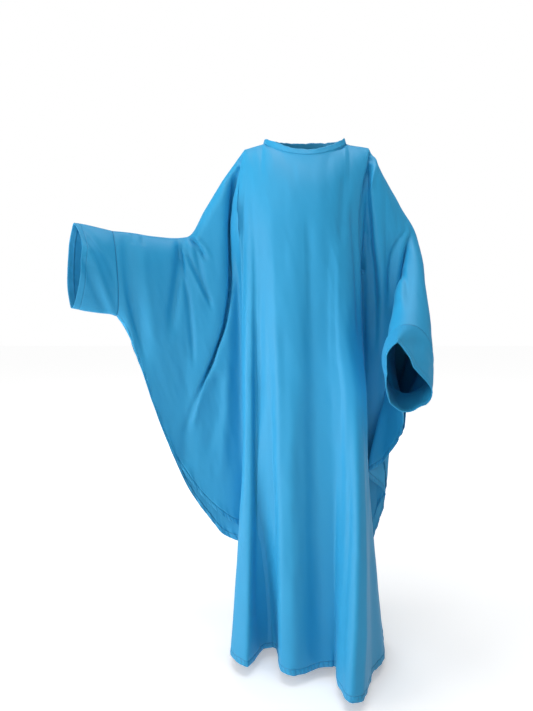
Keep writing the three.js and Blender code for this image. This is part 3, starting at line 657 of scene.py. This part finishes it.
def panel(layer):
    """A panel: the grid of its solid, small folds laid on along the normals, and turned hems. Returns
    the piece and its edges at the right and the left cuff seam."""
    upper, lower, first, count, u, body = panel_points(layer)
    rows, columns = upper.shape[:2]
    ids = np.arange(rows * columns).reshape(rows, columns)
    low_ids = rows * columns + np.arange(lower.shape[0] * count).reshape(-1, count)
    body_ids = np.concatenate([ids[:, first:first + count], low_ids])
    points = np.concatenate([upper.reshape(-1, 3), lower.reshape(-1, 3)])
    quads = np.concatenate([quads_of(ids), quads_of(body_ids[rows - 1:])])
    if layer == "back":
        quads = quads[:, ::-1]

    # The bend below each end of the neck is evened out along the rows
    grid = points[ids]
    square_way = point_normals(points, quads)[ids]
    fallen = way_along(points, ids, 0)
    loose = (EVEN_STRENGTH * np.exp(-((np.abs(grid[..., 0] - NECK_X) - NECK_HALF) / EVEN_REACH) ** 2)
             * smooth(0, 5, fallen) * (1 - smooth(150, 230, fallen)))
    loose = np.where(loose > 0.02, loose, 0) * smooth(-300, -240, grid[..., 2])
    for _ in range(EVEN_ROUNDS):
        between = (np.roll(grid, 1, 1) + np.roll(grid, -1, 1)) / 2 - grid
        grid = grid + square_way * (loose * (between * square_way).sum(-1))[..., None]
    points[ids] = grid

    # Distance to each edge that stays where it is, and to the hems
    down = np.zeros(len(points))
    down[ids] = way_along(points, ids, 0)
    body_down = way_along(points, body_ids, 0)
    down[body_ids] = body_down
    hem = np.full(len(points), FAR)
    wing_columns = np.r_[0:first, first + count:columns]
    wing_ids = ids[:, wing_columns]
    to_wing_hem = down[wing_ids[-1]] - down[wing_ids]
    hem[wing_ids] = to_wing_hem
    hem[body_ids] = np.minimum(hem[body_ids], down[body_ids[-1]] - body_down)
    side = np.full(len(points), FAR)
    side[body_ids] = np.minimum(u, body.end - u)[None]
    out = np.arange(1, first + 1)[::-1] * COLUMN
    side[ids[:, :first]] = out
    side[ids[:, first + count:]] = np.arange(1, columns - first - count + 1) * COLUMN
    to_cuff = np.minimum(np.arange(columns), np.arange(columns)[::-1]) * COLUMN
    cuff_seam = np.full(len(points), FAR)
    cuff_seam[ids] = to_cuff[None]
    x, z = points[:, 0].copy(), points[:, 2].copy()
    if layer == "front":
        # The front layer's lower edge on the left wing turns back in a fold
        last = first + count
        w = np.arange(1, columns - last + 1) / (columns - last)
        t = down[ids[:, last:]] / down[ids[-1, last:]]
        turned_back = smooth(0.62, 1.0, t)
        points[ids[:, last:], 0] += turned_back * sum(
            reach * np.exp(-((w - at) / half) ** 2) for reach, at, half in EDGE_TURNS)
        reach, at, half = EDGE_FORWARD
        points[ids[:, last:], 1] -= turned_back * reach * np.exp(-((w - at) / half) ** 2)
        lean = curve_through(RIDGE_LEAN_Z, RIDGE_LEAN)(z)
        points[body_ids, 0] += (lean * np.exp(-((x - RIDGE_X) / RIDGE_HALF) ** 2))[body_ids]
    seam_held = np.where(z < -360, smooth(0, 30, side), 1)
    held = smooth(0, 26, down) * seam_held * smooth(4, 30, cuff_seam)

    folds = FRONT_SMALL_FOLDS if layer == "front" else BACK_SMALL_FOLDS
    move = -small_folds(folds, x, z) * held
    seed = 11 if layer == "front" else 23
    move += 1.5 * drift(x / 46, z / 210, seed, 3) * held
    move += 0.5 * drift(x / 17 + z / 60, z / 70, seed + 1) * held
    # A turned hem draws up a little along its stitching: a shallow groove, and slanted puckers
    run = np.zeros(len(points))
    run[ids] = way_along(points, ids, 1)
    run[body_ids[rows:]] = way_along(points, body_ids[rows:], 1) + 300
    band = 1 - smooth(HEM_WIDTH, HEM_WIDTH + 22, hem)
    roll = np.exp(-((hem - 7) / 5) ** 2)
    move += (-0.9 * stitch_groove(hem) + 0.5 * roll
             + 1.5 * band * drift(run / 13 + hem / 15, hem / 40, seed + 2))
    wave = 1 - smooth(0, 60, hem)
    move += 1.4 * wave * drift(run / 38, hem / 90, seed + 3) * smooth(0, 30, side)
    normals = point_normals(points, quads)
    points = points + normals * move[:, None]
    outer = np.zeros(len(points), bool)
    outer[ids[:, :first]] = True
    near_seam = np.exp(-((side / (22.0 if layer == "front" else 15.0)) ** 2))
    if layer == "front":
        near_seam = np.where(outer, near_seam, np.clip(1 - side / 62, 0, None) ** 1.15)
    carried = SIDE_FORWARD * smooth(-90, -230, z) * smooth(-1000, -680, z) * near_seam
    points[:, 1] -= np.where(x < 0, carried, 0)

    normals = point_normals(points, quads)
    # Square to the seam along the shoulder line and the side stitching
    top = ids[0]
    line = points[top]
    tangent = np.gradient(line, axis=0)
    tangent /= np.linalg.norm(tangent, axis=1, keepdims=True)
    up = np.array([0, 0, 1.0]) - tangent * tangent[:, 2:]
    over = np.abs(line[:, 0] - NECK_X) >= NECK_HALF - 0.5
    normals[top[over]] = (up / np.linalg.norm(up, axis=1, keepdims=True))[over]
    for column, way in ((0, -1), (-1, 1)):
        edge = body_ids[:, column]
        tilt = side_tilt(points[edge, 2])
        square = np.stack([way * np.cos(tilt), body.outward * np.sin(tilt), 0 * tilt], -1)
        below = points[edge, 2] < SIDE_TILT_FROM
        normals[edge[below]] = square[below]

    walls, faces = shell(points, quads, normals, *wall_halves(CLOTH, hem))
    uv = np.stack([run, down], -1)
    seam = np.minimum(cuff_seam, np.where(z > -150, down, FAR))
    piece = make_piece(f"{layer}_panel_cloth", walls, faces, np.tile(uv, (2, 1)), np.tile(hem, 2),
                       np.tile(seam, 2))
    return piece, points[ids[:, 0]], points[ids[:, -1]]


def rim_curve(rows):
    """A closed centripetal Catmull-Rom curve through the rows, over turns from 0 to 1."""
    rows = np.asarray(rows, float)
    n = len(rows)

    def value(turn):
        p = (np.asarray(turn) % 1) * n
        i = np.floor(p).astype(int) % n
        t = (p - np.floor(p))[:, None]
        a, b, c, d = (rows[(i + k) % n] for k in (-1, 0, 1, 2))
        gap = lambda q, r: np.linalg.norm(r - q, axis=1, keepdims=True) ** 0.5
        g0, g1, g2 = gap(a, b), gap(b, c), gap(c, d)
        leave = ((b - a) / g0 - (c - a) / (g0 + g1) + (c - b) / g1) * g1
        arrive = ((c - b) / g1 - (d - b) / (g1 + g2) + (d - c) / g2) * g1
        return ((2 * t**3 - 3 * t**2 + 1) * b + (t**3 - 2 * t**2 + t) * leave
                + (3 * t**2 - 2 * t**3) * c + (t**3 - t**2) * arrive)

    return value


def cuff(side, front_edge, back_edge, around=132):
    """A cuff: straight lines from the end of the sleeve to the rim curve, with folds laid on along the
    normals, a seam groove at its start and a turned hem at its open end."""
    top, bottom = (front_edge[0] + back_edge[0]) / 2, (front_edge[-1] + back_edge[-1]) / 2
    loop = np.concatenate([top[None], front_edge[1:-1], bottom[None], back_edge[1:-1][::-1], top[None]])
    gone = np.concatenate([[0], np.cumsum(np.linalg.norm(np.diff(loop, axis=0), axis=1))])
    half = gone[len(front_edge) - 1]
    at = np.concatenate([np.linspace(0, half, around // 2, endpoint=False),
                         np.linspace(half, gone[-1], around // 2, endpoint=False)])
    seam = np.stack([np.interp(at, gone, loop[:, k]) for k in range(3)], -1)
    down = np.clip((top[2] - seam[:, 2]) / (top[2] - bottom[2]), 0, 1)
    turn = np.arccos(1 - 2 * down) / (2 * np.pi)
    turn = np.where(np.arange(around) < around // 2, turn, 1 - turn)
    rim = rim_curve(CUFF_RIMS[side])(turn)
    table = np.array(WING_SECTIONS[side], float)
    way = table[-1, :3] - table[-2, :3]
    way /= np.linalg.norm(way)
    length = np.linalg.norm(rim - seam, axis=1).mean()
    free = np.concatenate([[0, 0.8, 1.8, 3.2, 6], np.linspace(10, length - HEM_SPAN, 13)])
    dist = np.concatenate([free, length - HEM_ROWS])
    share = (dist / length)[:, None, None]
    rings = mix(seam + way * 0.35, rim, share)
    ids = np.arange(rings.shape[0] * around).reshape(-1, around)
    quads = quads_of(ids, closed=True)
    points = rings.reshape(-1, 3)
    if side == "left":
        quads = quads[:, ::-1]
    turns = np.broadcast_to(turn, ids.shape).ravel()
    out = np.repeat(dist / length, around)
    hem = np.repeat(length - dist, around)
    move = np.zeros(len(points))
    for depth, width, t0, t1, o0, o1 in CUFF_FOLDS[side]:
        s = np.clip((out - o0) / (o1 - o0), -0.2, 1.2)
        a = (turns - mix(t0, t1, s) + 0.5) % 1 - 0.5
        fade = smooth(min(o0, o1) - 0.15, min(o0, o1) + 0.25, out) * smooth(0.02, 0.12, out)
        move -= depth * fade * np.exp(-(a / width) ** 2)
    held = smooth(1, 14, out * length)
    seed = 41 if side == "right" else 47
    phase = turns * 2 * np.pi
    ring_noise = drift(4 + 2.2 * np.cos(phase), 4 + 2.2 * np.sin(phase) + out * 1.3, seed, 3)
    move += 2.0 * ring_noise * held
    pucker = drift(9 + 5 * np.cos(phase), 9 + 5 * np.sin(phase) + hem / 20, seed + 1)
    move += (-0.5 * stitch_groove(hem)
             + 0.5 * pucker * (1 - smooth(HEM_WIDTH, HEM_WIDTH + 15, hem)))
    move += (-0.9 * np.exp(-((out * length) / 1.2) ** 2)
             + 0.5 * np.exp(-((out * length - 4) / 2.2) ** 2))
    normals = point_normals(points, quads)
    points = points + normals * move[:, None]
    normals = point_normals(points, quads)
    walls, faces = shell(points, quads, normals, *wall_halves(CUFF_CLOTH, hem))
    run = np.broadcast_to(np.concatenate([[0], np.cumsum(np.linalg.norm(
        np.diff(rim, axis=0), axis=1))]), ids.shape).ravel()
    uv = np.stack([run, out * length], -1)
    return make_piece(f"{side}_cuff_cloth", walls, faces, np.tile(uv, (2, 1)), np.tile(hem, 2),
                      np.tile(out * length, 2))


def neck_band(around=220):
    """A folded band on the neck seam: a low stand leaning in, its wall rounded over at the top, with a
    wavy edge and small puckers along its seam."""
    phase = np.linspace(0, 2 * np.pi, around, endpoint=False)
    x = NECK_X - NECK_HALF * np.cos(phase)
    base = np.where((phase < np.pi)[:, None], neck_point(x, "front"), neck_point(x, "back"))
    inward = np.stack([NECK_X - base[:, 0], -base[:, 1], np.zeros(around)], -1)
    inward /= np.linalg.norm(inward, axis=1, keepdims=True)
    rise = np.array([0, 0, 1.0])
    lean = inward * BAND_LEAN + rise
    across = np.cross(np.roll(base, -1, 0) - np.roll(base, 1, 0), lean)
    across /= -np.linalg.norm(across, axis=1, keepdims=True)
    across *= np.sign((across * -inward).sum(1, keepdims=True))
    c, s = np.cos(phase), np.sin(phase)
    tall = (BAND_HEIGHT + 1.4 * drift(6 + 3 * c, 6 + 3 * s, 61)
            + 0.9 * drift(20 + 9 * c, 20 + 9 * s, 62))
    # The two ends of the neck stand up as small corners
    tall += 2.2 * np.exp(-((np.abs(phase - np.pi) % (2 * np.pi)) / 0.09) ** 2)
    tall -= 1.8 * np.exp(-(np.minimum(phase, 2 * np.pi - phase) / 0.14) ** 2)
    wall = BAND_CLOTH / 2
    loops = []
    pucker = drift(24 + 13 * c, 24 + 13 * s, 63)
    for side in (1, -1):
        order = BAND_PROFILE if side == 1 else BAND_PROFILE[-2::-1]
        for height, width in order:
            up = 0.3 + CLOTH / 2 + (height / BAND_HEIGHT) * (tall - 1)
            ripple = pucker * 0.45 * math.exp(-((height - 4) / 5) ** 2)
            sway = 0.8 * drift(8 + 4 * c, 8 + 4 * s, 64) * (height / BAND_HEIGHT)
            off = side * wall * width + ripple + sway
            loops.append(base + lean * up[:, None] + across * off[:, None])
    rings = np.stack(loops)
    ids = np.arange(rings.shape[0] * around).reshape(-1, around)
    closed_ids = np.concatenate([ids, ids[:1]])
    faces = quads_of(closed_ids, closed=True)
    points = rings.reshape(-1, 3)
    a, b, d = (points[faces[:, k]] for k in (0, 1, 3))
    from_middle = (points[faces].mean(1) - np.array([NECK_X, 0, 0])) * [1, 1, 0]
    if (np.cross(b - a, d - a) * from_middle).sum() < 0:
        faces = faces[:, ::-1]
    girth = np.concatenate([[0], np.cumsum(np.linalg.norm(np.diff(base, axis=0), axis=1))])
    lengths = np.cumsum(np.abs(np.diff([p[0] for p in BAND_PROFILE], prepend=0)))
    heights = np.concatenate([lengths, 2 * lengths[-1] - lengths[-2::-1]])
    uv = np.stack([np.broadcast_to(girth, ids.shape), np.broadcast_to(heights[:, None], ids.shape)], -1)
    return make_piece("neck_band_cloth", points, faces, uv.reshape(-1, 2), np.full(len(points), FAR),
                      np.repeat(np.minimum(heights, 2 * lengths[-1] - heights), around))


class Value:
    """A number socket in a material, so that + - * / and < write their own Math nodes."""

    def __init__(self, paint, socket):
        self.paint, self.socket = paint, socket

    def math(self, operation, *others):
        node = self.paint.node("ShaderNodeMath", {"operation": operation}, [self, *others])
        return Value(self.paint, node.outputs[0])

    def __add__(self, other):
        return self.math("ADD", other)

    def __sub__(self, other):
        return self.math("SUBTRACT", other)

    def __rsub__(self, other):
        return (self * -1.0) + other

    def __mul__(self, other):
        return self.math("MULTIPLY", other)

    def __truediv__(self, other):
        return self.math("DIVIDE", other)

    __radd__, __rmul__ = __add__, __mul__


class Paint:
    """A material built from nodes."""

    def __init__(self, name):
        self.material = bpy.data.materials.new(name)
        self.material.use_nodes = True
        self.tree = self.material.node_tree
        self.tree.nodes.clear()

    def node(self, kind, settings=None, values=()):
        """A node of a kind: its settings first, then values or links for its sockets, by order or by
        name."""
        made = self.tree.nodes.new(kind)
        for key, value in (settings or {}).items():
            setattr(made, key, value)
        pairs = values.items() if isinstance(values, dict) else enumerate(values)
        for key, value in pairs:
            if isinstance(value, Value):
                self.tree.links.new(value.socket, made.inputs[key])
            elif isinstance(value, bpy.types.NodeSocket):
                self.tree.links.new(value, made.inputs[key])
            else:
                made.inputs[key].default_value = value
        return made

    def noise(self, coordinates, scale, detail=2.0, stretch=(1, 1, 1)):
        """Noise of the coordinates, stretched along the axes, about a half."""
        placed = self.node("ShaderNodeMapping", None, {"Vector": coordinates, "Scale": stretch})
        made = self.node("ShaderNodeTexNoise", None,
                         {"Vector": placed.outputs[0], "Scale": scale, "Detail": detail})
        return Value(self, made.outputs[0])


def crepe():
    """Matt azure crepe: pebbled grain over a fine crosswise rib, clouded a little in colour, with a
    stitch line of short threads and small slanted tucks inside the hems, and grooves at the seams.
    The hem's fold line, the seam grooves and the tucks are darkened with painted shade."""
    paint = Paint("azure_crepe")
    place = paint.node("ShaderNodeTexCoord").outputs["Object"]
    cloth = paint.node("ShaderNodeUVMap", {"uv_map": "cloth"}).outputs[0]
    axes = paint.node("ShaderNodeSeparateXYZ", None, [cloth])
    across, down = Value(paint, axes.outputs[0]), Value(paint, axes.outputs[1])
    hem, seam = (
        Value(paint, paint.node("ShaderNodeAttribute", {"attribute_name": label}).outputs["Fac"])
        for label in ("hem", "seam"))

    pebble = paint.noise(place, 1100.0, 3.0)
    rib = (down * (2 * math.pi / RIB_PITCH) + (pebble - 0.5) * 5.0).math("SINE")
    twist = (across * (2 * math.pi / TWIST_PITCH) + (pebble - 0.5) * 4.0).math("SINE")
    slub = paint.noise(cloth, 420.0, 2.0, (0.2, 1.0, 1.0))
    grain = pebble * 0.9 + rib * 0.12 + twist * 0.10 + slub * 0.5

    line = ((hem - STITCH_FROM_EDGE) / STITCH_HALF).math("ABSOLUTE")
    on_line = 1.0 - line.math("MINIMUM", 1.0)
    dash = (across / STITCH_PITCH).math("FRACT")
    thread = on_line * dash.math("LESS_THAN", STITCH_SHARE)
    fold = ((hem - FOLD_FROM_EDGE) / FOLD_HALF).math("ABSOLUTE")
    joined = 1.0 - (seam / SEAM_HALF).math("MINIMUM", 1.0)
    groove = (1.0 - fold.math("MINIMUM", 1.0)).math("MAXIMUM", joined)

    inside = ((TUCK_FROM_EDGE - hem) / TUCK_EASE).math("MAXIMUM", 0.0).math("MINIMUM", 1.0)
    wander = paint.noise(cloth, 55.0, 2.0)
    tuck = ((across + hem * 0.5) * (2 * math.pi / TUCK_PITCH) + (wander - 0.5) * 9.0).math("SINE")
    away = ((seam - TUCK_FROM_SEAM) / TUCK_SEAM_EASE).math("MAXIMUM", 0.0).math("MINIMUM", 1.0)
    tuck = tuck.math("MAXIMUM", 0.0) * inside * away

    cloud = paint.noise(place, 7.0, 3.0)
    speck = paint.noise(place, 1500.0, 1.0)
    shade = cloud * 0.6 + speck * 0.5 + rib * 0.03 - 0.05
    base = paint.node("ShaderNodeMix", {"data_type": "RGBA"}, {"Factor": shade, "A": DEEP, "B": LIGHT})
    stitched = paint.node("ShaderNodeMix", {"data_type": "RGBA"},
                          {"Factor": thread * 0.7, "A": base.outputs["Result"], "B": THREAD})
    # Painted shade: the fold line, the seam grooves and the tucks are mixed towards a deep blue
    groove_shade_mask = (groove * 0.6 + tuck * 0.30) * (1.0 - thread)
    with_groove_shade = paint.node("ShaderNodeMix", {"data_type": "RGBA"},
                      {"Factor": groove_shade_mask, "A": stitched.outputs["Result"], "B": GROOVE_SHADE})
    height = grain * GRAIN_RISE + thread * THREAD_RISE - groove * GROOVE_SINK - tuck * TUCK_SINK
    bump = paint.node("ShaderNodeBump", None, {"Strength": 0.55, "Distance": 1.0, "Height": height})
    rough = cloud * 0.08 + speck * 0.10 + 0.50
    shader = paint.node("ShaderNodeBsdfPrincipled", None, {
        "Base Color": with_groove_shade.outputs["Result"], "Roughness": rough, "Normal": bump.outputs[0],
        "Sheen Weight": 0.10, "Sheen Roughness": 0.45, "Sheen Tint": SHEEN,
        "Specular IOR Level": 0.48})
    paint.node("ShaderNodeOutputMaterial", None, [shader.outputs[0]])
    return paint.material


def floor_paint():
    """Pale paper that glows with painted light, more with the distance from the middle, where the lamps
    reach less; the glow also lights the cloth from below.
    """
    paint = Paint("glowing_floor")
    place = paint.node("ShaderNodeTexCoord").outputs["Object"]
    distance = paint.node("ShaderNodeVectorMath", {"operation": "LENGTH"}, [place])
    away = Value(paint, distance.outputs["Value"])
    # Painted light: the floor's emission, weaker near the middle and stronger far out
    far = ((away - FLOOR_GLOW_FROM) / FLOOR_GLOW_OVER).math("MAXIMUM", 0.0).math("MINIMUM", 1.0)
    glow = far * (FLOOR_GLOW_FAR - FLOOR_GLOW_NEAR) + FLOOR_GLOW_NEAR
    tone = paint.noise(place, 2.0) * 0.02 + 0.6
    shader = paint.node("ShaderNodeBsdfPrincipled", None, {
        "Base Color": (0.95, 0.95, 0.95, 1.0), "Roughness": tone, "Specular IOR Level": 0.1,
        "Emission Color": glow, "Emission Strength": 1.0})
    paint.node("ShaderNodeOutputMaterial", None, [shader.outputs[0]])
    return paint.material


def area_light(name, place, facing_z, size, power):
    """A square soft light facing a height on the middle line."""
    lamp = bpy.data.lights.new(name, "AREA")
    lamp.shape, lamp.size, lamp.energy = "SQUARE", size, power
    made = bpy.data.objects.new(name, lamp)
    made.location = place
    aim = np.array((0, 0, facing_z)) - np.array(place)
    rise = math.atan2(aim[2], math.hypot(aim[0], aim[1]))
    made.rotation_euler = (math.pi / 2 + rise, 0, math.atan2(aim[1], aim[0]) - math.pi / 2)
    bpy.context.scene.collection.objects.link(made)


def studio():
    """Camera, a wide pale floor that glows with painted light, and soft light from both sides, from
    above and from behind.
    """
    camera_data = bpy.data.cameras.new("camera")
    camera_data.lens = CAMERA_LENS
    camera = bpy.data.objects.new("camera", camera_data)
    camera.location = CAMERA_AT
    camera.rotation_euler = (math.radians(90 - CAMERA_DOWN), 0, 0)
    bpy.context.scene.collection.objects.link(camera)
    bpy.context.scene.camera = camera

    reach = np.linspace(-1, 1, 9) * FLOOR_REACH
    across, deep = np.meshgrid(reach, reach)
    grid = np.stack([across, deep, np.full_like(across, FLOOR_Z)], -1)
    ids = np.arange(grid.size // 3).reshape(9, 9)
    mesh = bpy.data.meshes.new("floor")
    mesh.from_pydata(grid.reshape(-1, 3).tolist(), [], quads_of(ids)[:, ::-1].tolist())
    mesh.shade_smooth()
    floor = bpy.data.objects.new("floor", mesh)
    floor.data.materials.append(floor_paint())
    bpy.context.scene.collection.objects.link(floor)
    floor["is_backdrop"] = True

    for lamp in LAMPS:
        area_light(*lamp)
    world = bpy.data.worlds.new("studio")
    world.use_nodes = True
    tree = world.node_tree
    seen = tree.nodes.new("ShaderNodeLightPath").outputs["Is Camera Ray"]
    strength = tree.nodes.new("ShaderNodeMapRange")
    strength.inputs["To Min"].default_value = WORLD_LIGHT
    strength.inputs["To Max"].default_value = 1.0
    tree.links.new(seen, strength.inputs["Value"])
    tree.links.new(strength.outputs["Result"], tree.nodes["Background"].inputs["Strength"])
    tree.nodes["Background"].inputs["Color"].default_value = (1, 1, 1, 1)
    bpy.context.scene.world = world
    bpy.context.scene.view_settings.view_transform = "Standard"


studio()
cloth_paint = crepe()
pieces, cuff_edges = {}, {}
for layer in ("front", "back"):
    pieces[layer], cuff_edges[layer, "right"], cuff_edges[layer, "left"] = panel(layer)
    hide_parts(f"{layer}_panel")
for side in ("right", "left"):
    pieces[side] = cuff(side, cuff_edges["front", side], cuff_edges["back", side])
    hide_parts(f"{side}_cuff")
band = neck_band()
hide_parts("neck_band")
for piece in [*pieces.values(), band]:
    piece.data.materials.append(cloth_paint)

visual_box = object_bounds()
({"cad": [list(corner) for corner in cad_box],
           "visual": [list(corner) for corner in visual_box]})
